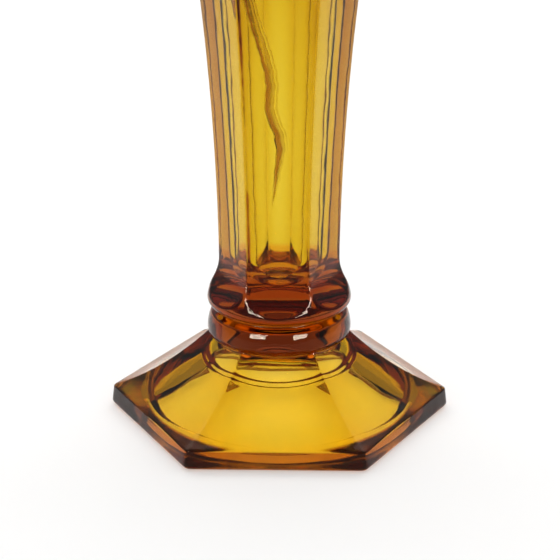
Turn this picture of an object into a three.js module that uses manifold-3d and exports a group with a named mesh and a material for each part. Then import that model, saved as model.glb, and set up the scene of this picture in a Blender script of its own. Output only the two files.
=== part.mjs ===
// Pressed-glass candlestick in amber glass: a six-sided foot with a dished underside, a round knop
// ring and a hollow six-sided column fused into one stand, and a loose candle cup with a saucer that
// drops into the column's mouth.
// Millimetres, +Z up. The origin is on the axis, in the plane that the foot stands on, and one flat
// of every hexagon faces -Y.
import * as THREE from "three";
import { mergeVertices } from "three/addons/utils/BufferGeometryUtils.js";
import Module from "manifold-3d";

const wasm = await Module();
wasm.setup();

// ---- Driving dimensions ----------------------------------------------------------------------

// Foot. Its corner radii are from the axis to where two sides would meet if they weren't blunted.
const footCorner = 54.3;
const footRimHeight = 6.4;
const footRimDraft = 0.8; // how much smaller the corner radius is at the top of the rim
const footBlunt = 0.5; // how much of each upright corner is taken off
const footEdgeRound = 1.6; // round along the foot's lower edge
const footTop = 25.4; // height of the seat that carries the knop ring
const footSeatAcross = 40; // across the flats of that seat
const footSlopeSag = 2.5; // how far the six slopes dip below a straight line
const recessRadius = 39;
const recessWallHeight = 1.6; // upright part of the recess's wall
const recessStepRadius = 20.5; // where its cone meets a short step under the dome in the middle
const recessStepHeight = 14;
const recessStepRise = 2.2;
const recessTopGlass = 2; // glass left between that dome and the seat

// Knop ring: a round band, widest low down, whose long shoulder leans in towards the top.
const knopRadius = 22.6;
const knopUnderRound = 2.6; // quarter round from the underside to the widest line
const knopShoulderHeight = 6.3; // widest line to top
const knopShoulderRadius = 12.5; // the shoulder's curve, seen from the side
const knopTopRound = 0.7;

// Column. Its panel sizes are from the axis to a panel's face.
const columnNeckRadius = 19; // the groove between the two rings
const columnNeckHeight = 0.4;
const upperRingRadius = 22.6;
const upperRingUnderHeight = 3; // groove to widest line
const upperRingShoulderHeight = 7.8; // widest line to where the ridges take over
const ringFullness = 0.25; // share of that height over which the shoulder stays nearly upright
const panelWaist = 16.4;
const panelMouth = 24;
const panelCoveRadius = 14.5; // the panels sweep outwards into the upper ring on this radius
const panelCoveHeight = 12.8; // waist to the upper ring's widest line
const columnHeight = 130.2; // from the column's underside to its mouth
const flareLateness = 0.88; // 1 keeps all of the flare for the upper half

// The column's hollow, which is round and tapers to a rounded end.
const hollowFloor = 7.2; // glass between the column's underside and the hollow
const hollowEndRadius = 11.3;
const hollowEndHeight = 12;
const hollowMouthRadius = 15.8;

// Candle cup: a nozzle for the candle, a six-sided saucer that rests on the column's mouth, and a
// plug that goes down into the hollow.
const candleRadius = 11; // a dinner candle 22 mm thick
const candleClearance = 0.25;
const candleBoreDraft = 0.3;
const candleBoreDepth = 25;
const cupWall = 3.2;
const cupFloor = 5;
const saucerThickness = 3;
const saucerOverhang = 8; // past the column's mouth, at the flats
const saucerRise = 4.5; // the rim's underside above the level middle's
const nozzleHeight = 13; // above the saucer's level middle
const nozzleLipRound = 1.2;
const plugClearance = 0.5;
const plugEndRound = 3;

const glassGap = 0.3; // between two pieces that touch

// ---- Heights that follow from them ------------------------------------------------------------

const knopBottom = footTop + glassGap;
const knopWidest = knopBottom + knopUnderRound;
const knopTop = knopWidest + knopShoulderHeight;
const columnBottom = knopTop + glassGap;
const ringUnderside = columnBottom + columnNeckHeight;
const ringWidest = ringUnderside + upperRingUnderHeight;
const ringShoulder = ringWidest + upperRingShoulderHeight;
const waistHeight = ringWidest + panelCoveHeight;
const mouthHeight = columnBottom + columnHeight;
const hollowBottom = columnBottom + hollowFloor;
const saucerBottom = mouthHeight + glassGap;
const saucerTop = saucerBottom + saucerThickness;
const nozzleTop = saucerTop + nozzleHeight;
const candleSeat = nozzleTop - candleBoreDepth;
const plugBottom = candleSeat - cupFloor;

const candleBoreRadius = candleRadius + candleClearance;
const nozzleRadius = candleBoreRadius + cupWall;

const roundSides = 48;
const cornerFactor = 1 / Math.cos(Math.PI / 6); // a hexagon's corner radius over its flat's

// ---- Makers -----------------------------------------------------------------------------------

// A closed solid turned about Z from a profile of (distance from the axis, height) points that
// starts and ends on the axis, bottom first.
function turned(points, sides = roundSides, start = 0) {
  const lathe = new THREE.LatheGeometry(points, sides, start).rotateX(Math.PI / 2);
  return solidOf(lathe);
}

// The same with six flat sides. The profile gives distances to the flats.
function sixSided(points) {
  const corners = points.map((p) => new THREE.Vector2(p.x * cornerFactor, p.y));
  return turned(corners, 6, Math.PI / 6);
}

// Welds a geometry's vertices and turns it into a manifold solid with its faces pointing out.
function solidOf(geometry) {
  geometry.deleteAttribute("normal");
  geometry.deleteAttribute("uv");
  const welded = mergeVertices(geometry, 1e-4);
  const index = Array.from(welded.index.array);
  const triangles = [];
  for (let i = 0; i < index.length; i += 3) {
    const [a, b, c] = index.slice(i, i + 3);
    if (a !== b && b !== c && c !== a) triangles.push(a, b, c);
  }
  const make = (triVerts) =>
    new wasm.Manifold(
      new wasm.Mesh({
        numProp: 3,
        vertProperties: welded.attributes.position.array,
        triVerts: new Uint32Array(triVerts),
      }),
    );
  const made = make(triangles);
  return made.volume() > 0 ? made : make(triangles.reverse());
}

// A manifold solid as a named mesh.
function piece(name, solid, material) {
  const mesh = solid.getMesh();
  const geometry = new THREE.BufferGeometry()
    .setAttribute("position", new THREE.BufferAttribute(mesh.vertProperties, 3))
    .setIndex(new THREE.BufferAttribute(mesh.triVerts, 1));
  geometry.computeVertexNormals();
  const made = new THREE.Mesh(geometry, material);
  made.name = name;
  return made;
}

// Points of a profile that starts on the axis at one height, follows the drawn path and comes back
// to the axis at its last height. Draw gets a THREE.Path that stands at the first point.
function profile(first, draw, divisions = 8) {
  const path = new THREE.Path().moveTo(first.x, first.y);
  draw(path);
  const points = path.getPoints(divisions);
  const last = points[points.length - 1];
  const ends = [new THREE.Vector2(0, first.y), new THREE.Vector2(0, last.y)];
  if (first.x > 0) points.unshift(ends[0]);
  if (last.x > 0) points.push(ends[1]);
  return points;
}

const at = (x, y) => new THREE.Vector2(x, y);

// ---- Foot ---------------------------------------------------------------------------------------

function makeFoot(material) {
  const base = footCorner / cornerFactor;
  const rimTop = (footCorner - footRimDraft) / cornerFactor;
  const seat = footSeatAcross / 2;
  const body = sixSided(
    profile(at(base - footEdgeRound, 0), (p) => {
      p.quadraticCurveTo(base, 0, base, footEdgeRound);
      p.lineTo(rimTop, footRimHeight);
      // A control point at twice the sag below the chord's middle gives the curve that sag.
      const middle = at((rimTop + seat) / 2, (footRimHeight + footTop) / 2);
      p.quadraticCurveTo(middle.x, middle.y - 2 * footSlopeSag, seat, footTop);
    }),
  );
  const cornerRound = turned([
    at(0, -1),
    at(footCorner - footBlunt, -1),
    at(footCorner - footBlunt, footTop + 1),
    at(0, footTop + 1),
  ]);
  const recess = turned(
    profile(at(recessRadius, -1), (p) => {
      p.lineTo(recessRadius, recessWallHeight);
      p.lineTo(recessStepRadius, recessStepHeight);
      const domeFoot = recessStepHeight + recessStepRise;
      p.lineTo(recessStepRadius, domeFoot);
      const rise = footTop - recessTopGlass - domeFoot;
      p.absellipse(0, domeFoot, recessStepRadius, rise, 0, Math.PI / 2);
    }),
  );
  return piece("foot", body.intersect(cornerRound).subtract(recess), material);
}

// ---- Knop ring ------------------------------------------------------------------------------------

function makeKnopRing(material) {
  const shoulderCentre = knopRadius - knopShoulderRadius;
  const lean = Math.asin((knopShoulderHeight - knopTopRound) / knopShoulderRadius);
  const outline = profile(at(knopRadius - knopUnderRound, knopBottom), (p) => {
    p.absarc(knopRadius - knopUnderRound, knopWidest, knopUnderRound, -Math.PI / 2, 0);
    p.absarc(shoulderCentre, knopWidest, knopShoulderRadius, 0, lean);
    const edge = shoulderCentre + knopShoulderRadius * Math.cos(lean);
    p.quadraticCurveTo(edge - knopTopRound * Math.tan(lean), knopTop, edge - 2 * knopTopRound, knopTop);
  });
  return piece("knop_ring", turned(outline), material);
}

// ---- Column -----------------------------------------------------------------------------------------

// The six panels: they sweep out into the ring below the waist and flare towards the mouth above.
function columnPanels() {
  const coveEnd = Math.asin(panelCoveHeight / panelCoveRadius);
  const coveFoot = panelAt(ringWidest);
  const flareMiddle = (waistHeight + mouthHeight) / 2;
  const flareReach = panelWaist + ((panelMouth - panelWaist) * (1 - flareLateness)) / 2;
  return sixSided(
    profile(at(coveFoot, columnBottom), (p) => {
      p.lineTo(coveFoot, ringWidest);
      const centre = panelWaist + panelCoveRadius;
      p.absarc(centre, waistHeight, panelCoveRadius, Math.PI + coveEnd, Math.PI, true);
      p.quadraticCurveTo(flareReach, flareMiddle, panelMouth, mouthHeight);
    }),
  );
}

// What the panels are cut from: a round neck and ring, and plenty of glass above the shoulder.
function columnBlank() {
  const shoulderRadius = panelAt(ringShoulder) * cornerFactor;
  const ringReach = upperRingRadius - columnNeckRadius;
  const plenty = panelMouth * 2;
  return turned(
    profile(at(columnNeckRadius, columnBottom), (p) => {
      p.lineTo(columnNeckRadius, ringUnderside);
      p.absellipse(columnNeckRadius, ringWidest, ringReach, upperRingUnderHeight, -Math.PI / 2, 0);
      p.quadraticCurveTo(
        upperRingRadius,
        ringWidest + upperRingShoulderHeight * ringFullness,
        shoulderRadius,
        ringShoulder,
      );
      p.lineTo(plenty, ringShoulder + 1);
      p.lineTo(plenty, mouthHeight + 1);
    }),
  );
}

// Distance from the axis to a panel's face in the cove, at a height.
function panelAt(height) {
  const drop = waistHeight - height;
  return panelWaist + panelCoveRadius - Math.sqrt(panelCoveRadius ** 2 - drop ** 2);
}

// The space that the pressing plunger leaves.
function columnHollow() {
  return turned(
    profile(at(0, hollowBottom), (p) => {
      p.bezierCurveTo(
        hollowEndRadius * 0.55,
        hollowBottom,
        hollowEndRadius,
        hollowBottom + hollowEndHeight * 0.45,
        hollowEndRadius,
        hollowBottom + hollowEndHeight,
      );
      p.lineTo(hollowMouthRadius, mouthHeight);
      p.lineTo(hollowMouthRadius, mouthHeight + 1);
    }),
  );
}

function makeColumn(material) {
  const solid = columnPanels().intersect(columnBlank()).subtract(columnHollow());
  return piece("column", solid, material);
}

// ---- Candle cup ----------------------------------------------------------------------------------------

// The hollow's radius at a height above its rounded end.
function hollowAt(height) {
  const start = hollowBottom + hollowEndHeight;
  const share = (height - start) / (mouthHeight - start);
  return hollowEndRadius + (hollowMouthRadius - hollowEndRadius) * share;
}

function makeCandleCup(material) {
  const rim = panelMouth + saucerOverhang;
  const bend = panelMouth + saucerOverhang / 2;
  const lip = saucerThickness * 0.3;
  const saucer = sixSided(
    profile(at(panelMouth, saucerBottom), (p) => {
      p.quadraticCurveTo(bend, saucerBottom, rim, saucerBottom + saucerRise);
      p.lineTo(rim - lip, saucerTop + saucerRise);
      p.quadraticCurveTo(bend - lip, saucerTop, panelMouth - lip, saucerTop);
    }),
  );
  const core = turned(
    profile(at(0, plugBottom), (p) => {
      const low = hollowAt(plugBottom + plugEndRound) - plugClearance;
      const high = hollowAt(mouthHeight) - plugClearance;
      const inSaucer = (saucerBottom + saucerTop) / 2;
      p.lineTo(low - plugEndRound, plugBottom);
      p.quadraticCurveTo(low, plugBottom, low, plugBottom + plugEndRound);
      p.lineTo(high, mouthHeight);
      p.lineTo(high, inSaucer);
      p.lineTo(nozzleRadius, inSaucer);
      p.lineTo(nozzleRadius, nozzleTop - nozzleLipRound);
      p.quadraticCurveTo(nozzleRadius, nozzleTop, nozzleRadius - nozzleLipRound, nozzleTop);
    }),
  );
  const bore = turned([
    at(0, candleSeat),
    at(candleBoreRadius - candleBoreDraft, candleSeat),
    at(candleBoreRadius, nozzleTop),
    at(candleBoreRadius, nozzleTop + 1),
    at(0, nozzleTop + 1),
  ]);
  return piece("candle_cup", saucer.add(core).subtract(bore), material);
}

// ---- Assembly ----------------------------------------------------------------------------------------------

const amberGlass = new THREE.MeshStandardMaterial({
  color: 0xc8860c,
  roughness: 0.05,
  metalness: 0,
  transparent: true,
  opacity: 0.75,
});
amberGlass.name = "amber_glass";

const candlestick = new THREE.Group();
candlestick.name = "candlestick";

const stand = new THREE.Group();
stand.add(makeFoot(amberGlass), makeKnopRing(amberGlass), makeColumn(amberGlass));

candlestick.add(stand, makeCandleCup(amberGlass));

export default candlestick;
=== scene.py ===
"""An amber pressed-glass candlestick: the pressed stand, its loose candle cup and a pale set."""

import math

import bpy
import numpy as np
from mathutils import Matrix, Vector


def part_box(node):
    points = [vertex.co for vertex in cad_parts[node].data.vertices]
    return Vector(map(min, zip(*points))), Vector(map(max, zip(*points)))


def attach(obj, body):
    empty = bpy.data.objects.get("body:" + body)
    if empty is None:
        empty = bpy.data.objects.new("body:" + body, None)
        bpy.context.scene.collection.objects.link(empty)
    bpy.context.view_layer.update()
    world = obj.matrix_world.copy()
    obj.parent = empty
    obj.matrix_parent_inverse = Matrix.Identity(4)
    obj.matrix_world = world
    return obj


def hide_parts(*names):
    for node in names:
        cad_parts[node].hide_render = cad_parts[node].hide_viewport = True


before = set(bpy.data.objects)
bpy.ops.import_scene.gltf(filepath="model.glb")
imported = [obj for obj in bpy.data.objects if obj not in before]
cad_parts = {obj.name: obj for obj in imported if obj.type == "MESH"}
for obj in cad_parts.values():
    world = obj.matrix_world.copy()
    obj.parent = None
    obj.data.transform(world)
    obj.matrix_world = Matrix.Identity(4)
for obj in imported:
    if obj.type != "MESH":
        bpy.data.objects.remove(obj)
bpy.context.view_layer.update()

MM = 0.001


def box_mm(node):
    """A node's lowest and highest corners, in millimetres."""
    return np.array(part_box(node)) / MM


# ---- Measures, in millimetres and degrees ----------------------------------------------------

FOOT_BOX = box_mm("foot")
KNOP_BOX = box_mm("knop_ring")
COLUMN_BOX = box_mm("column")
CUP_BOX = box_mm("candle_cup")

# Where an outline has no part in the shape it gets out of the way: by how much for each millimetre
# of height.
LEAVE_FAST = 6.0
LEAVE = 3.0
LEAVE_OUTWARDS = 2.5

CORNER = 1 / math.cos(math.pi / 6)  # a hexagon's corner radius over its flat's
CORNER_SHARPNESS = 5.97  # makes a corner's rounding in hexagon() the radius that is asked for
FRONT_RIDGE = -60.0  # direction of the ridge at the right of the front

FOOT_FLAT = FOOT_BOX[1][1]
FOOT_TOP = FOOT_BOX[1][2]
FOOT_RIM_TOP = 6.4
FOOT_RIM_DRAFT = 0.7
FOOT_CORNER_ROUND = 2.4
FOOT_RIDGE_ROUND = 0.8
FOOT_EDGE_ROUND = 1.6
FOOT_SEAT_FLAT = 20.0
FOOT_SLOPE_SAG = 2.5
FOOT_SLOPE_REACH = 1.15  # how far the slopes' curve is carried on, over its length
FOOT_SLOPE_LEAN = 0.45  # height over distance of the line that the slopes go on along under the rim
FOOT_RIM_EASE = 0.9
FOOT_RIDGE_START = 3.0  # height above the rim's top at which the ridges are fully crisp

RECESS_RADIUS = 39.0
RECESS_WALL = 1.6
RECESS_STEP_RADIUS = 20.5
RECESS_STEP_HEIGHT = 14.0
RECESS_STEP_RISE = 2.2
RECESS_STEP_BEAD = 0.3
RECESS_DEPTH = FOOT_TOP - 2.0
RECESS_LIP_ROUND = 0.8

KNOP_RADIUS = KNOP_BOX[1][0]
KNOP_TOP = KNOP_BOX[1][2]
KNOP_UNDER_ROUND = 2.9
KNOP_WIDEST = KNOP_BOX[0][2] + 2.6
KNOP_SHOULDER_CURVE = 12.5
KNOP_TOP_INSET = 4.0
KNOP_TOP_EASE = 0.9

NECK_RADIUS = 19.0
NECK_TOP = COLUMN_BOX[0][2] + 0.4
NECK_FILLET = 0.5
KNOP_FILLET = 0.4
SEAT_FILLET = 0.6
RING_RADIUS = KNOP_RADIUS
RING_WIDEST = NECK_TOP + 3.0
SHOULDER_TOP = RING_WIDEST + 7.8
RING_FULLNESS = 0.25

PANEL_WAIST = 16.4
PANEL_MOUTH = COLUMN_BOX[1][1]
PANEL_RIDGE_ROUND = 0.9
PANEL_EDGE_ROUND = 0.45
WAIST_HEIGHT = RING_WIDEST + 12.8
COVE_RADIUS = 14.5
MOUTH_HEIGHT = COLUMN_BOX[1][2]
MOUTH_ROUND = 1.2
FLARE_LATENESS = 0.88

HOLLOW_FLOOR = COLUMN_BOX[0][2] + 7.2
HOLLOW_END_RADIUS = 11.3
HOLLOW_END_HEIGHT = 12.0
HOLLOW_MOUTH_RADIUS = 15.8

# The fold that the glass made as it was pressed: height, and how far it is along the hollow's wall
# from the middle of the front, to the right.
FOLD_PATH = (
    (150, -13.0), (136, -9.6), (129, -7.5), (122, -4.9), (115, -2.9), (110, -2.3), (104, -2.8),
    (100, -2.0), (95, 0.3), (90, 0.9), (84, 0.0), (78, -0.9), (70, -2.4),
)
FOLD_HEIGHT = 0.8
FOLD_HALF_WIDTH = 1.5
FOLD_ENDS = (70, 96, 140, 150)  # heights between which the fold widens, is widest and thins out
FOLD_TAIL_ENDS = (70, 76, 84, 96)
FOLD_THREAD_ENDS = (84, 98)
FOLD_COLUMNS = (140, 155)  # heights by which the columns crowd round the fold, and are evened out
FOLD_CROWDING = 0.75
# Across the fold, in half widths from its middle, and heights as shares of the fold's.
FOLD_THINNEST = 0.25
FOLD_LAP = (-1.15, -0.75, 0.8, 1.15)
FOLD_SHELF = (-0.7, 0.5)
FOLD_SHELF_DROP = 0.6
FOLD_THREAD_PLACE = 1.5
FOLD_THREAD_WIDTH = 0.16
FOLD_THREAD_SHARE = 0.35
FOLD_TAIL_WIDTH = 0.35
FOLD_TAIL_SHARE = 0.5
FOLD_WAVERS = ((0.07, 1.3, 0), (0.04, 3.1, 1))  # reach, and the rate and start of each sine

SEAM_HEIGHT = 0.12
SEAM_HALF_WIDTH = 0.22
SEAM_SWERVE = -5.5  # how far round the mould seam jumps where it crosses the rings
SEAM_RINGS = (25, 27, 46, 50)  # heights between which it sets off, has jumped, comes back, is back
SEAM_ENDS = (1, 3, 52, 60)  # and between which it fades in and out

CUP_FLOOR = CUP_BOX[0][2]
CUP_TOP = CUP_BOX[1][2]
CANDLE_SEAT = CUP_FLOOR + 5.0
BORE_RADIUS = 11.25
CUP_WALL = 3.2
PLUG_CLEARANCE = 0.5
PLUG_ROUND = 3.0
SAUCER_FLAT = CUP_BOX[1][1]
SAUCER_BOTTOM = MOUTH_HEIGHT + 0.3
SAUCER_THICKNESS = 3.0
SAUCER_RISE = 4.5
SAUCER_CORNER_ROUND = 2.0
NOZZLE_ROUND = 1.2
NOZZLE_FILLET = 2.0
SAUCER_FILLET = 0.6
SEAT_CORNER_ROUND = 1.0

# Heights between which the painted shade on the rim and the rings comes and goes, in millimetres.
RIM_SHADE_ENDS = (6.6, 5.4)
RINGS_SHADE_ENDS = (FOOT_TOP, FOOT_TOP + 2, SHOULDER_TOP, WAIST_HEIGHT)

# Heights up the outside between which the rows are evenly spaced, and how many rows each takes.
OUTSIDE_ROWS = ((5.2, 4), (8, 12), (24, 28), (52, 92), (MOUTH_HEIGHT - MOUTH_ROUND, 40))
COLUMNS = 240
CROWDING = 0.7  # how much the columns crowd together at the six corners


# ---- Glass, camera and light, in metres and degrees ------------------------------------------

SPECK_PLACE = (-0.0331, -0.0288, 0.0076)
SPECK_EDGE = (0.0006, 0.0003)
GLASS_COLOUR = (0.932, 0.853, 0.17, 1)
GLASS_DENSITY = 420
# Painted shade on the reflections: a warm tint that cuts the glass's mirror reflections to about
# 0.4 of real glass's.
DIMMED_REFLECTION = (0.42, 0.40, 0.34, 1)
# Painted shade, mixed into the glass's own colour: dark brown along the fold, dark red on the rim's
# lower band, and a redder, darker cast on the rings.
PAINTED_SHADES = {
    "fold": (0.28, 0.10, 0.02, 1),
    "rim": (0.42, 0.12, 0.06, 1),
    "rings": (1.0, 0.60, 0.42, 1),
}
FULL_PAINTED_SHADE = 0.7  # a point's share of a painted shade from which it has all of it
SPECK_COLOUR = (0.10, 0.05, 0.02, 1)
INDEX = 1.5

BUMP_DISTANCE = 0.001
WAVE_TURN = (0.3, 0.5, 0.6)  # in radians
WAVE_SCALE = (24, 70, 60)
WAVE_HEIGHT = 0.5
RIPPLE_SCALE = 420.0
RIPPLE_HEIGHT = 0.004
SCUFF_SCALE = 900.0
SCUFF_LEVELS = (0.62, 0.75)
SCUFF_ROUGHNESS = 0.02
WEAR_HEIGHTS = (0.0006, 0.0001)
WEAR_ROUGHNESS = 0.3

FLOOR_WHITE = 0.92
FLOOR_MOTTLE = 0.01
FLOOR_SCALE = 30.0
FLOOR_ROUGHNESS = 0.7

CAMERA_TARGET = Vector((0.00025, 0, 0.043))
CAMERA_DISTANCE = 0.5758
CAMERA_RISE = 21.7
CAMERA_TURN = 1.31
CAMERA_LENS = 118.0

SWEEP_HALF_WIDTH = 2.5
SWEEP_BEND = 0.5
SWEEP_FRONT = -2.5
SWEEP_BACK = 1.6
SWEEP_TOP = 0.6
SWEEP_DROP = 0.0002

SKY_LOW = 0.5
SKY_HIGH = 1.6
SKY_PATCH_UP = (0.55, 0.8)
SKY_PATCH_BACK = (0.1, 0.4)
FILL_PLACE = Vector((0, 0.4, 1.5))
FILL_AIM = Vector((0, 0.4, 0))
FILL_SIZE = 2.4
FILL_POWER = 16.8
SOFTBOX_AIM = Vector((0, 0, 0.03))
SOFTBOX_DISTANCE = 1.2
SOFTBOX_RADIANCE = 32
SOFTBOX_SPREAD = 25  # how wide each is as seen from the glass, in degrees
SOFTBOX_TURNS = (("left", -34), ("right", 37))
SOFTBOX_ROWS = (("low", 15, 14), ("high", 36, 10))  # how high up, and how tall, in degrees
GAMMA = 0.9


# ---- Surfaces on grids -----------------------------------------------------------------------


def closed_mesh(name, points, start, end):
    """A closed mesh from a grid of points (rows, columns, 3) in millimetres. The columns run round
    the axis anticlockwise and join up, and the points start and end close the first and the last
    row."""
    rows, columns, _ = points.shape
    verts = np.concatenate([points.reshape(-1, 3), [start, end]]) * MM
    index = np.arange(rows * columns).reshape(rows, columns)
    onward = np.roll(index, -1, axis=1)
    quads = np.stack([index[:-1], onward[:-1], onward[1:], index[1:]], axis=-1).reshape(-1, 4)
    first = np.stack([np.full(columns, rows * columns), onward[0], index[0]], axis=-1)
    last = np.stack([np.full(columns, rows * columns + 1), index[-1], onward[-1]], axis=-1)
    mesh = bpy.data.meshes.new(name)
    mesh.from_pydata(verts.tolist(), [], quads.tolist() + first.tolist() + last.tolist())
    mesh.update()
    mesh.shade_smooth()
    thing = bpy.data.objects.new(name, mesh)
    bpy.context.scene.collection.objects.link(thing)
    return thing


def on_grid(radius, angle, height):
    """Points at a distance from the axis, a direction and a height, each an array of one shape."""
    return np.stack([radius * np.cos(angle), radius * np.sin(angle), height], axis=-1)


def hexagon(flat, rounding, angle):
    """Distance from the axis to a six-sided outline with rounded corners: the flats' distance over
    a soft maximum of the cosines of the angles to the six flats' directions."""
    flat = np.asarray(flat, float)
    sharpness = CORNER_SHARPNESS * flat / rounding
    turns = np.radians(-90 + 60 * np.arange(6))
    cosines = np.cos(angle[..., None] - turns)
    top = cosines.max(-1)
    total = np.exp(sharpness[..., None] * (cosines - top[..., None])).sum(-1)
    return flat / (top + np.log(total) / sharpness)


def soft_min(a, b, width):
    """The lesser of a and b, rounded off where they are within width of each other."""
    share = np.clip(0.5 + 0.5 * (b - a) / width, 0, 1)
    return b + (a - b) * share - width * share * (1 - share)


def soft_max(a, b, width):
    """The greater of a and b, rounded off in the same way."""
    return -soft_min(-a, -b, width)


def smooth(a, b, x):
    """0 where x is at a, 1 where it is at b, and a cubic ease between."""
    t = np.clip((x - a) / (b - a), 0, 1)
    return t * t * (3 - 2 * t)


def between(heights, z):
    """Eases up from 0 to 1 between the first two heights and down again between the last two."""
    return smooth(heights[0], heights[1], z) * (1 - smooth(heights[2], heights[3], z))


def curve(first, middle, last, t):
    """Points of a parabola from first to last that leaves each towards middle."""
    t = t[:, None]
    start, bend, stop = np.array(first), np.array(middle), np.array(last)
    return start * (1 - t) ** 2 + bend * 2 * t * (1 - t) + stop * t**2


def steps(start, stop, count):
    """A column of heights or shares from start to stop, without the start itself."""
    return np.linspace(start, stop, count + 1)[1:, None]


def bunched(count, crowd):
    """Angles round the axis that crowd together at the six corners."""
    u = np.arange(count) / (count / 6)
    return np.radians(60) * (u - crowd * np.sin(2 * np.pi * u) / (2 * np.pi))


# ---- The stand -------------------------------------------------------------------------------


def slope_flat(z):
    """Distance of the foot's sloping sides at a height: a parabola whose middle sags below the line
    from the rim's top to the seat."""
    rim = FOOT_FLAT - FOOT_RIM_DRAFT
    middle = ((rim + FOOT_SEAT_FLAT) / 2, (FOOT_RIM_TOP + FOOT_TOP) / 2 - 2 * FOOT_SLOPE_SAG)
    share = np.linspace(0, FOOT_SLOPE_REACH, 200)
    line = curve((rim, FOOT_RIM_TOP), middle, (FOOT_SEAT_FLAT, FOOT_TOP), share)
    below = rim + (FOOT_RIM_TOP - z) / FOOT_SLOPE_LEAN
    return np.where(z < FOOT_RIM_TOP, below, np.interp(z, line[:, 1], line[:, 0]))


def foot_radius(z, angle):
    """Outline of the foot at a height: the lesser of the upright rim and the slopes, with a round
    lower edge, on a hexagon whose ridges are crisper than the rim's corners."""
    rim = FOOT_FLAT - FOOT_RIM_DRAFT * z / FOOT_RIM_TOP
    flat = soft_min(slope_flat(z), rim, FOOT_RIM_EASE)
    edge = np.clip(1 - z / FOOT_EDGE_ROUND, 0, 1)
    flat = flat - FOOT_EDGE_ROUND * (1 - np.sqrt(1 - edge**2))
    up = smooth(FOOT_RIM_TOP, FOOT_RIM_TOP + FOOT_RIDGE_START, z)
    rounding = FOOT_CORNER_ROUND + (FOOT_RIDGE_ROUND - FOOT_CORNER_ROUND) * up
    return hexagon(flat, rounding, angle)


def knop_radius(z):
    """Outline of the lower ring: a quarter round under its widest line, and above it a long curved
    shoulder that turns in at the top."""
    low = np.clip((KNOP_WIDEST - z) / KNOP_UNDER_ROUND, 0, 1)
    under = KNOP_RADIUS - KNOP_UNDER_ROUND * (1 - np.sqrt(1 - low**2))
    under = under - LEAVE_FAST * np.clip(KNOP_WIDEST - KNOP_UNDER_ROUND - z, 0, None)
    rise = np.clip(z - KNOP_WIDEST, 0, KNOP_TOP - KNOP_WIDEST)
    shoulder = KNOP_RADIUS - KNOP_SHOULDER_CURVE + np.sqrt(KNOP_SHOULDER_CURVE**2 - rise**2)
    top = KNOP_RADIUS - KNOP_TOP_INSET + LEAVE * np.clip(KNOP_TOP - z, -5, None)
    return np.where(z < KNOP_WIDEST, under, soft_min(shoulder, top, KNOP_TOP_EASE))


def panel_flat(z):
    """Distance of the column's panels: a quarter-round cove below the waist, a late flare above."""
    drop = np.clip(WAIST_HEIGHT - z, 0, COVE_RADIUS - 0.5)
    cove = COVE_RADIUS - np.sqrt(COVE_RADIUS**2 - drop**2)
    share = np.clip((z - WAIST_HEIGHT) / (MOUTH_HEIGHT - WAIST_HEIGHT), 0, 1)
    flare = (PANEL_MOUTH - PANEL_WAIST) * (share**2 + (1 - FLARE_LATENESS) * share * (1 - share))
    return PANEL_WAIST + cove + flare


def envelope_radius(z):
    """The round body that the panels are cut from: a quarter ellipse up to the ring's widest line,
    a parabola up to the shoulder, and out of the way above it."""
    low = np.clip((RING_WIDEST - z) / (RING_WIDEST - NECK_TOP), 0, 1)
    lower = NECK_RADIUS + (RING_RADIUS - NECK_RADIUS) * np.sqrt(1 - low**2)
    lower = lower - LEAVE_FAST * np.clip(NECK_TOP - z, 0, None)
    shoulder = panel_flat(np.array(SHOULDER_TOP)) * CORNER
    control = (RING_RADIUS, RING_WIDEST + RING_FULLNESS * (SHOULDER_TOP - RING_WIDEST))
    share = np.linspace(0, 1, 60)
    line = curve((RING_RADIUS, RING_WIDEST), control, (shoulder, SHOULDER_TOP), share)
    upper = np.interp(z, line[:, 1], line[:, 0])
    upper = upper + LEAVE_OUTWARDS * np.clip(z - SHOULDER_TOP, 0, None)
    return np.where(z < RING_WIDEST, lower, upper)


def mould_seam(z, angle, radius):
    """Height of the two fine threads that the mould's joint leaves, on opposite ridges: a bell
    curve across each, swerving sideways over the rings."""
    swerve = SEAM_SWERVE * between(SEAM_RINGS, z)
    total = 0
    for turn in (FRONT_RIDGE, FRONT_RIDGE + 180):
        away = (angle - np.radians(turn + swerve) + np.pi) % (2 * np.pi) - np.pi
        total = total + np.exp(-((away * radius / SEAM_HALF_WIDTH) ** 2))
    return SEAM_HEIGHT * total * between(SEAM_ENDS, z)


def outer_radius(z, angle):
    """Outline of the whole stand: the foot, the lower ring, the neck and the column, each merged
    with the next by a soft maximum, and the mould seam on top."""
    panels = hexagon(panel_flat(z), PANEL_RIDGE_ROUND, angle)
    body = soft_min(panels, envelope_radius(z), PANEL_EDGE_ROUND)
    body = np.where(z < NECK_TOP - 4, 0, body)
    neck = np.where(z < NECK_TOP + 2, NECK_RADIUS, 0)
    neck = neck - LEAVE * np.clip(KNOP_BOX[0][2] - z, 0, None)
    radius = soft_max(body, neck, NECK_FILLET)
    radius = soft_max(radius, knop_radius(z), KNOP_FILLET)
    radius = soft_max(radius, foot_radius(z, angle), SEAT_FILLET)
    return radius + mould_seam(z, angle, radius)


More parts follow.
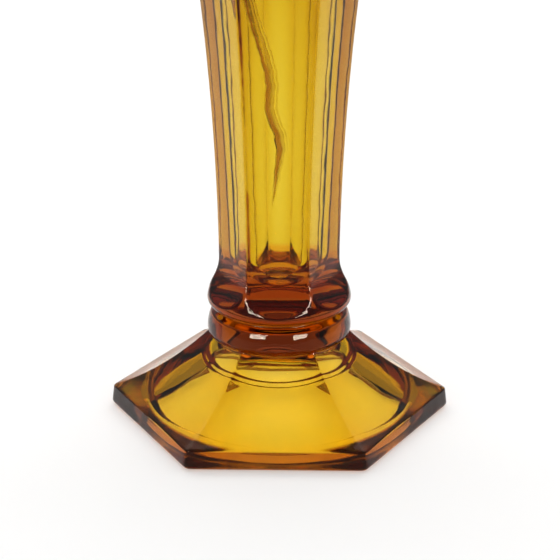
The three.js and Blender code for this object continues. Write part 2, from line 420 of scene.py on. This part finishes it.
def underside(angle):
    """Rows from the axis outwards: the recess's dome (a quarter ellipse), a short upright step with
    a bead and a groove on it (one turn of a sine), a cone, a short wall that a parabola opens out,
    and the flat that the foot stands on."""
    dome_foot = RECESS_STEP_HEIGHT + RECESS_STEP_RISE
    turn = steps(0, np.pi / 2, 18)
    step = steps(0, 1, 14)
    cone = steps(0, 1, 16)
    wall = steps(0, 1, 5)
    flat = steps(0, 1, 4)[:-1]
    inner = RECESS_RADIUS + RECESS_LIP_ROUND
    edge = hexagon(np.full((1, COLUMNS), FOOT_FLAT - FOOT_EDGE_ROUND), FOOT_CORNER_ROUND, angle)
    rows = [
        (RECESS_STEP_RADIUS * np.sin(turn), dome_foot + (RECESS_DEPTH - dome_foot) * np.cos(turn)),
        (
            RECESS_STEP_RADIUS - RECESS_STEP_BEAD * np.sin(2 * np.pi * step),
            dome_foot - RECESS_STEP_RISE * step,
        ),
        (
            RECESS_STEP_RADIUS + (RECESS_RADIUS - RECESS_STEP_RADIUS) * cone,
            RECESS_STEP_HEIGHT + (RECESS_WALL - RECESS_STEP_HEIGHT) * cone,
        ),
        (RECESS_RADIUS + RECESS_LIP_ROUND * wall**2, RECESS_WALL * (1 - wall)),
        (inner + (edge - inner) * flat, 0 * flat),
    ]
    return [(radius + 0 * angle, height + 0 * angle) for radius, height in rows]


def outside(angle):
    """Rows up the outside, close together where the outline turns fast."""
    turn = np.linspace(0, np.pi / 2, 7)[:, None]
    stretches = [FOOT_EDGE_ROUND * (1 - np.cos(turn))]
    start = FOOT_EDGE_ROUND
    for stop, count in OUTSIDE_ROWS:
        stretches.append(steps(start, stop, count))
        start = stop
    z = np.concatenate(stretches) + 0 * angle
    return [(outer_radius(z, angle + 0 * z), z)]


def lip(angle):
    """Rows over the column's mouth: a quarter round, the flat that the saucer rests on, and
    another quarter round into the hollow."""
    turn = steps(0, np.pi / 2, 5)
    top = hexagon(np.full((1, COLUMNS), PANEL_MOUTH), PANEL_RIDGE_ROUND, angle)
    inner = HOLLOW_MOUTH_RADIUS + MOUTH_ROUND
    across = steps(0, 1, 4)[:-1]
    low = MOUTH_HEIGHT - MOUTH_ROUND
    rise = MOUTH_ROUND * np.sin(turn)
    fall = MOUTH_ROUND * np.cos(turn)
    flat = (top - MOUTH_ROUND) * (1 - across) + inner * across
    return [
        (top - MOUTH_ROUND + fall, low + rise + 0 * angle),
        (flat, MOUTH_HEIGHT + 0 * flat),
        (inner - rise + 0 * angle, low + fall + 0 * angle),
    ]


def hollow_radius(z):
    """Radius of the hollow: a straight taper above its rounded end."""
    start = HOLLOW_FLOOR + HOLLOW_END_HEIGHT
    share = (z - start) / (MOUTH_HEIGHT - start)
    return HOLLOW_END_RADIUS + (HOLLOW_MOUTH_RADIUS - HOLLOW_END_RADIUS) * share


def hollow_rows():
    """Heights and radii of the rows down the hollow's wall and round its elliptical end, close
    together along the fold."""
    start = HOLLOW_FLOOR + HOLLOW_END_HEIGHT
    end = steps(0, np.pi / 2, 24)[:-1]
    wall = np.concatenate([
        steps(MOUTH_HEIGHT - MOUTH_ROUND, FOLD_ENDS[2], 20),
        steps(FOLD_ENDS[2], FOLD_ENDS[0] - 2, 106),
        steps(FOLD_ENDS[0] - 2, start, 10),
    ])
    z = np.concatenate([wall, start - HOLLOW_END_HEIGHT * np.sin(end)])
    radius = np.concatenate([hollow_radius(wall), HOLLOW_END_RADIUS * np.cos(end)])
    return z, radius


def fold_middle(z, radius):
    """Direction of the fold's middle at each row: its path with the kinks eased, bent round the
    wall."""
    path = np.array(FOLD_PATH[::-1])
    along = np.interp(z, path[:, 0], path[:, 1])
    for _ in range(3):
        along[1:-1] = (along[:-2] + 2 * along[1:-1] + along[2:]) / 4
    return np.radians(-90) + along / np.maximum(radius, HOLLOW_END_RADIUS)


def fold_share(across, z):
    """How much of the fold's height a point has, from how far it is across the fold. The lap has a
    steep left side, a lower shelf and a steep right side, with a slight waver; beside it runs a
    thread, and below it a tail, both bell curves."""
    taper = between(FOLD_ENDS, z)
    side = across / (FOLD_HALF_WIDTH * (FOLD_THINNEST + (1 - FOLD_THINNEST) * taper))
    for reach, rate, start in FOLD_WAVERS:
        side = side + reach * np.sin(rate * z + start)
    shelf = 1 - FOLD_SHELF_DROP * smooth(*FOLD_SHELF, side)
    lap = between(FOLD_LAP, side) * shelf * taper**0.7
    thread = np.exp(-(((side - FOLD_THREAD_PLACE) / FOLD_THREAD_WIDTH) ** 2))
    thread = thread * smooth(*FOLD_THREAD_ENDS, z) * taper
    tail = np.exp(-((side / FOLD_TAIL_WIDTH) ** 2)) * between(FOLD_TAIL_ENDS, z)
    return lap + FOLD_THREAD_SHARE * thread + FOLD_TAIL_SHARE * tail


def hollow(angle):
    """The hollow's rows, with the fold: radius, angle, height and each point's share of the fold.
    The columns start as the lip's, even out, and drift until they crowd round the fold."""
    z, radius = hollow_rows()
    centre = fold_middle(z, radius)
    even = np.radians(np.arange(COLUMNS) * 360 / COLUMNS)[None, :]
    away = (even - centre + np.pi) % (2 * np.pi) - np.pi
    drift = smooth(MOUTH_HEIGHT, FOLD_COLUMNS[0], z)
    turned = even * (1 - drift) + (even - FOLD_CROWDING * np.sin(away)) * drift
    turned = turned + (angle - even) * (1 - smooth(MOUTH_HEIGHT - 2, FOLD_COLUMNS[1], z))
    across = ((turned - centre + np.pi) % (2 * np.pi) - np.pi) * radius
    fold = fold_share(across, z)
    return radius - FOLD_HEIGHT * fold, turned, z + 0 * turned, fold


def painted_shade_shares(radius, height, wall_fold):
    """How much of each painted shade the stand's points have, in the outer rows and in the hollow's
    rows.
    """
    rim = np.where(radius > RECESS_RADIUS + 1, smooth(*RIM_SHADE_ENDS, height), 0)
    rings = between(RINGS_SHADE_ENDS, height)
    none = 0 * wall_fold
    return {"fold": (0 * radius, wall_fold), "rim": (rim, none), "rings": (rings, none)}


def make_stand():
    """The stand's one closed surface: the underside, the outside, the lip and the hollow."""
    angle = bunched(COLUMNS, CROWDING)[None, :]
    rows = underside(angle) + outside(angle) + lip(angle)
    radius = np.concatenate([row[0] for row in rows])
    height = np.concatenate([row[1] for row in rows])
    wall_radius, wall_angle, wall_height, wall_fold = hollow(angle)
    points = np.concatenate([
        on_grid(radius, angle + 0 * radius, height),
        on_grid(wall_radius, wall_angle, wall_height),
    ])
    thing = closed_mesh("stand_glass", points, [0, 0, RECESS_DEPTH], [0, 0, HOLLOW_FLOOR])
    # Stores the painted shade masks for the fold, the rim and the rings as point attributes.
    for share, (outer, inner) in painted_shade_shares(radius, height, wall_fold).items():
        values = np.concatenate([outer.reshape(-1), inner.reshape(-1), [0, 0]])
        thing.data.attributes.new(share, "FLOAT", "POINT").data.foreach_set("value", values)
    return thing


# ---- The candle cup --------------------------------------------------------------------------


def cup_profile():
    """The cup's outline as columns of distance, height and how six-sided it is, from the middle of
    the plug's underside, out along the saucer, up the nozzle and down the bore."""
    low = hollow_radius(CUP_FLOOR + PLUG_ROUND) - PLUG_CLEARANCE
    nozzle = BORE_RADIUS + CUP_WALL
    saucer_top = SAUCER_BOTTOM + SAUCER_THICKNESS
    bend = (PANEL_MOUTH + SAUCER_FLAT) / 2
    edge = SAUCER_THICKNESS / 2
    arc = steps(0, np.pi / 2, 7)
    share = steps(0, 1, 12)
    side = steps(CUP_FLOOR + PLUG_ROUND, SAUCER_BOTTOM - SAUCER_FILLET, 6)
    plug = hollow_radius(side) - PLUG_CLEARANCE
    collar = plug[-1] + SAUCER_FILLET
    under = curve(
        (PANEL_MOUTH, SAUCER_BOTTOM),
        (bend, SAUCER_BOTTOM),
        (SAUCER_FLAT - edge, SAUCER_BOTTOM + SAUCER_RISE),
        share[:, 0],
    )
    round_edge = steps(-np.pi / 2, np.pi / 2, 10)
    over = curve(
        (SAUCER_FLAT - edge, saucer_top + SAUCER_RISE),
        (bend - edge, saucer_top),
        (PANEL_MOUTH - edge, saucer_top),
        share[:, 0],
    )
    foot = nozzle + NOZZLE_FILLET
    swell, flatten = 1 - np.cos(arc), np.sin(arc)
    seat = SEAT_CORNER_ROUND
    pieces = [
        ((low - PLUG_ROUND) * steps(0, 1, 5), CUP_FLOOR, 0),
        (low - PLUG_ROUND + PLUG_ROUND * flatten, CUP_FLOOR + PLUG_ROUND * swell, 0),
        (plug, side, 0),
        (plug[-1] + SAUCER_FILLET * swell, SAUCER_BOTTOM - SAUCER_FILLET * (1 - flatten), 0),
        (collar + (PANEL_MOUTH - collar) * share, SAUCER_BOTTOM, share),
        (under[:, :1], under[:, 1:], 1),
        (
            SAUCER_FLAT - edge + edge * np.cos(round_edge),
            SAUCER_BOTTOM + SAUCER_RISE + edge + edge * np.sin(round_edge),
            1,
        ),
        (over[:, :1], over[:, 1:], 1),
        (PANEL_MOUTH - edge + (foot - PANEL_MOUTH + edge) * share, saucer_top, 1 - share),
        (foot - NOZZLE_FILLET * flatten, saucer_top + NOZZLE_FILLET * swell, 0),
        (nozzle, steps(saucer_top + NOZZLE_FILLET, CUP_TOP - NOZZLE_ROUND, 12), 0),
        (nozzle - NOZZLE_ROUND * swell, CUP_TOP - NOZZLE_ROUND * (1 - flatten), 0),
        (BORE_RADIUS + NOZZLE_ROUND * (1 - flatten), CUP_TOP - NOZZLE_ROUND * swell, 0),
        (BORE_RADIUS, steps(CUP_TOP - NOZZLE_ROUND, CANDLE_SEAT + seat, 24), 0),
        (BORE_RADIUS - seat * swell, CANDLE_SEAT + seat * (1 - flatten), 0),
        ((BORE_RADIUS - seat) * (1 - steps(0, 1, 6)[:-1]), CANDLE_SEAT, 0),
    ]
    filled = [np.broadcast_arrays(*piece) for piece in pieces]
    return [np.concatenate([piece[i] for piece in filled]) for i in range(3)]


def make_cup():
    """The cup's closed surface: its outline turned about the axis, or drawn out to a hexagon."""
    angle = bunched(COLUMNS, CROWDING)[None, :]
    distance, height, sides = cup_profile()
    six = hexagon(distance + 0 * angle, SAUCER_CORNER_ROUND, angle + 0 * distance)
    radius = distance * (1 - sides) + six * sides
    points = on_grid(radius, angle + 0 * radius, height + 0 * angle)
    return closed_mesh("cup_glass", points, [0, 0, CUP_FLOOR], [0, 0, CANDLE_SEAT])


# ---- Shader maths ----------------------------------------------------------------------------


class Field:
    """A shader socket that arithmetic works on: each operator adds a Math node."""

    def __init__(self, recipe, socket):
        self.recipe = recipe
        self.socket = socket

    def join(self, operation, first, second):
        return self.recipe.node("ShaderNodeMath", {"operation": operation}, {0: first, 1: second})

    def __add__(self, other):
        return self.join("ADD", self, other)

    def __radd__(self, other):
        return self.join("ADD", other, self)

    def __sub__(self, other):
        return self.join("SUBTRACT", self, other)

    def __rsub__(self, other):
        return self.join("SUBTRACT", other, self)

    def __mul__(self, other):
        return self.join("MULTIPLY", self, other)

    def __rmul__(self, other):
        return self.join("MULTIPLY", other, self)


class Recipe:
    """Adds nodes to one node tree."""

    def __init__(self, tree):
        self.tree = tree

    def node(self, kind, settings=None, inputs=None, output=0):
        """Adds a node of a type, with its settings first and then the values, fields or sockets of
        its inputs, and returns one of its outputs as a field."""
        made = self.tree.nodes.new(kind)
        for name, value in (settings or {}).items():
            setattr(made, name, value)
        for key, value in (inputs or {}).items():
            if isinstance(value, Field):
                self.tree.links.new(value.socket, made.inputs[key])
            else:
                made.inputs[key].default_value = value
        return Field(self, made.outputs[output])

    def ease(self, value, low, high, least=0.0, most=1.0):
        """Goes from least to most as a value goes from low to high."""
        limits = {"From Min": low, "From Max": high, "To Min": least, "To Max": most}
        settings = {"interpolation_type": "SMOOTHSTEP"}
        return self.node("ShaderNodeMapRange", settings, {"Value": value} | limits)

    def noise(self, place, scale, detail):
        """Noise at a place, about 0.5 on average."""
        inputs = {"Vector": place, "Scale": scale, "Detail": detail}
        return self.node("ShaderNodeTexNoise", {}, inputs)

    def mix(self, share, first, second):
        """A colour between two others."""
        inputs = {"Factor": share, 6: first, 7: second}
        return self.node("ShaderNodeMix", {"data_type": "RGBA"}, inputs, 2)

    def feed(self, shader, **fields):
        """Links fields to a shader's inputs, whose names have underscores for spaces."""
        for name, field in fields.items():
            self.tree.links.new(field.socket, shader.inputs[name.replace("_", " ")])


def new_material(name):
    """A material with its recipe and its shader."""
    material = bpy.data.materials.new(name)
    material.use_nodes = True
    return material, Recipe(material.node_tree), material.node_tree.nodes["Principled BSDF"]


def amber_glass():
    """Clear amber glass, deeper where it is thick: wavy from the press, with a fine ripple, painted
    shade along the fold and on the rim and the rings, mirror reflections dimmed as painted shade,
    one dark speck, faint scuffs, and wear on the flat that it stands on."""
    material, recipe, shader = new_material("amber_glass")
    place = recipe.node("ShaderNodeTexCoord", output="Object")
    height = recipe.node("ShaderNodeSeparateXYZ", {}, {0: place}, "Z")
    leaning = {"Vector": place, "Rotation": WAVE_TURN, "Scale": WAVE_SCALE}
    waves = recipe.noise(recipe.node("ShaderNodeMapping", {}, leaning), 1.0, 2.0)
    ripple = recipe.noise(place, RIPPLE_SCALE, 1.0)
    scuffs = recipe.noise(place, SCUFF_SCALE, 4.0)
    relief = waves * WAVE_HEIGHT + ripple * RIPPLE_HEIGHT
    bump = recipe.node("ShaderNodeBump", {}, {"Distance": BUMP_DISTANCE, "Height": relief})
    wear = recipe.ease(height, *WEAR_HEIGHTS)
    scuffed = recipe.ease(scuffs, *SCUFF_LEVELS, 0.0, SCUFF_ROUGHNESS)
    roughness = wear * scuffs * WEAR_ROUGHNESS + scuffed

    # Painted shade: darker colours mixed into the base colour along the fold, on the rim and on the
    # rings.
    shaded_colour = (1, 1, 1, 1)
    for name, shade_colour in PAINTED_SHADES.items():
        share = recipe.node("ShaderNodeAttribute", {"attribute_name": name}, output="Fac")
        shaded_colour = recipe.mix(recipe.ease(share, 0.0, FULL_PAINTED_SHADE), shaded_colour, shade_colour)
    ends = {0: place, 1: SPECK_PLACE}
    away = recipe.node("ShaderNodeVectorMath", {"operation": "DISTANCE"}, ends, "Value")
    colour = recipe.mix(recipe.ease(away, *SPECK_EDGE), shaded_colour, SPECK_COLOUR)

    recipe.feed(shader, Base_Color=colour, Roughness=roughness, Normal=bump)
    shader.inputs["IOR"].default_value = INDEX
    shader.inputs["Transmission Weight"].default_value = 1
    # Painted shade on the reflections: mirror reflections cut to about 0.4 of real glass's.
    shader.inputs["Specular Tint"].default_value = DIMMED_REFLECTION
    nodes = material.node_tree.nodes
    depth = nodes.new("ShaderNodeVolumeAbsorption")
    depth.inputs["Color"].default_value = GLASS_COLOUR
    depth.inputs["Density"].default_value = GLASS_DENSITY
    material.node_tree.links.new(depth.outputs[0], nodes["Material Output"].inputs["Volume"])
    return material


def floor_paint():
    """Matt white with a faint mottle."""
    material, recipe, shader = new_material("floor_paint")
    place = recipe.node("ShaderNodeTexCoord", output="Object")
    white = FLOOR_WHITE - recipe.noise(place, FLOOR_SCALE, 2.0) * FLOOR_MOTTLE
    colour = recipe.node("ShaderNodeCombineColor", {}, {0: white, 1: white, 2: white})
    recipe.feed(shader, Base_Color=colour)
    shader.inputs["Roughness"].default_value = FLOOR_ROUGHNESS
    return material


# ---- The set ---------------------------------------------------------------------------------


def direction(turn, rise):
    """A unit vector turned to the right of the front and raised, in degrees."""
    turn, rise = math.radians(turn), math.radians(rise)
    level = math.cos(rise)
    return Vector((math.sin(turn) * level, -math.cos(turn) * level, math.sin(rise)))


def make_camera():
    """The scene's camera, which looks at the lower part of the stand from in front and above."""
    way = direction(CAMERA_TURN, CAMERA_RISE)
    camera = bpy.data.objects.new("camera", bpy.data.cameras.new("camera"))
    bpy.context.scene.collection.objects.link(camera)
    camera.location = CAMERA_TARGET + way * CAMERA_DISTANCE
    camera.rotation_euler = (-way).to_track_quat("-Z", "Y").to_euler()
    camera.data.sensor_width = 36
    camera.data.lens = CAMERA_LENS
    camera.data.clip_start = 0.01
    bpy.context.scene.camera = camera


def make_sweep():
    """A floor that bends up into a low back wall: a profile of depths and heights drawn out
    sideways."""
    bend = np.linspace(0, np.pi / 2, 60)
    curved = SWEEP_BACK + SWEEP_BEND * np.sin(bend)
    y = np.concatenate([[SWEEP_FRONT], curved, [SWEEP_BACK + SWEEP_BEND]])
    z = np.concatenate([[0], SWEEP_BEND * (1 - np.cos(bend)), [SWEEP_TOP]])
    x = np.array([-SWEEP_HALF_WIDTH, SWEEP_HALF_WIDTH])[:, None]
    points = np.stack(np.broadcast_arrays(x, y, z), axis=-1)
    index = np.arange(2 * len(y)).reshape(2, -1)
    faces = np.stack([index[0, :-1], index[1, :-1], index[1, 1:], index[0, 1:]], axis=-1)
    mesh = bpy.data.meshes.new("sweep")
    mesh.from_pydata(points.reshape(-1, 3).tolist(), [], faces.tolist())
    mesh.shade_smooth()
    sweep = bpy.data.objects.new("sweep", mesh)
    sweep.location.z = -SWEEP_DROP
    bpy.context.scene.collection.objects.link(sweep)
    mesh.materials.append(floor_paint())
    return sweep


def make_sky():
    """Soft light from all round, and much more of it from a patch high up at the back."""
    sky = bpy.data.worlds.new("sky")
    bpy.context.scene.world = sky
    sky.use_nodes = True
    recipe = Recipe(sky.node_tree)
    place = recipe.node("ShaderNodeTexCoord", output="Generated")
    back = recipe.node("ShaderNodeSeparateXYZ", {}, {0: place}, "Y")
    up = recipe.node("ShaderNodeSeparateXYZ", {}, {0: place}, "Z")
    patch = recipe.ease(up, *SKY_PATCH_UP) * recipe.ease(back, *SKY_PATCH_BACK)
    background = sky.node_tree.nodes["Background"]
    background.inputs["Color"].default_value = (1, 1, 1, 1)
    recipe.feed(background, Strength=SKY_LOW + SKY_HIGH * patch)


def area_light(name, place, aim, size, power):
    """A flat lamp of a width and a height, turned towards a point."""
    light = bpy.data.lights.new(name, "AREA")
    light.shape = "RECTANGLE"
    light.size, light.size_y = size
    light.energy = power
    thing = bpy.data.objects.new(name, light)
    thing.location = place
    thing.rotation_euler = (aim - place).to_track_quat("-Z", "Y").to_euler()
    bpy.context.scene.collection.objects.link(thing)
    return thing


def make_lights(sweep, glass_pieces):
    """Two softboxes of two panels each, which light only the glass and aren't seen through it, and
    a fill that lights only the floor."""
    glass_only = bpy.data.collections.new("glass_only")
    for piece in glass_pieces:
        glass_only.objects.link(piece)
    floor_only = bpy.data.collections.new("floor_only")
    floor_only.objects.link(sweep)
    fill = area_light("floor_fill", FILL_PLACE, FILL_AIM, (FILL_SIZE, FILL_SIZE), FILL_POWER)
    fill.light_linking.receiver_collection = floor_only
    fill.light_linking.blocker_collection = floor_only
    width = 2 * SOFTBOX_DISTANCE * math.tan(math.radians(SOFTBOX_SPREAD / 2))
    for side, turn in SOFTBOX_TURNS:
        for row, rise, spread in SOFTBOX_ROWS:
            height = 2 * SOFTBOX_DISTANCE * math.tan(math.radians(spread / 2))
            power = SOFTBOX_RADIANCE * math.pi * width * height
            place = SOFTBOX_AIM + direction(turn, rise) * SOFTBOX_DISTANCE
            name = f"softbox_{side}_{row}"
            lamp = area_light(name, place, SOFTBOX_AIM, (width, height), power)
            lamp.light_linking.receiver_collection = glass_only
            lamp.visible_transmission = False


# ---- Putting it together ---------------------------------------------------------------------

glass = amber_glass()

stand = make_stand()
stand.data.materials.append(glass)
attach(stand, "stand")
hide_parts("foot", "knop_ring", "column")

cup = make_cup()
cup.data.materials.append(glass)
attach(cup, "cup")
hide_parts("candle_cup")

make_camera()
sweep = make_sweep()
make_sky()
make_lights(sweep, [stand, cup])
bpy.context.scene.view_settings.view_transform = "Standard"
bpy.context.scene.view_settings.gamma = GAMMA
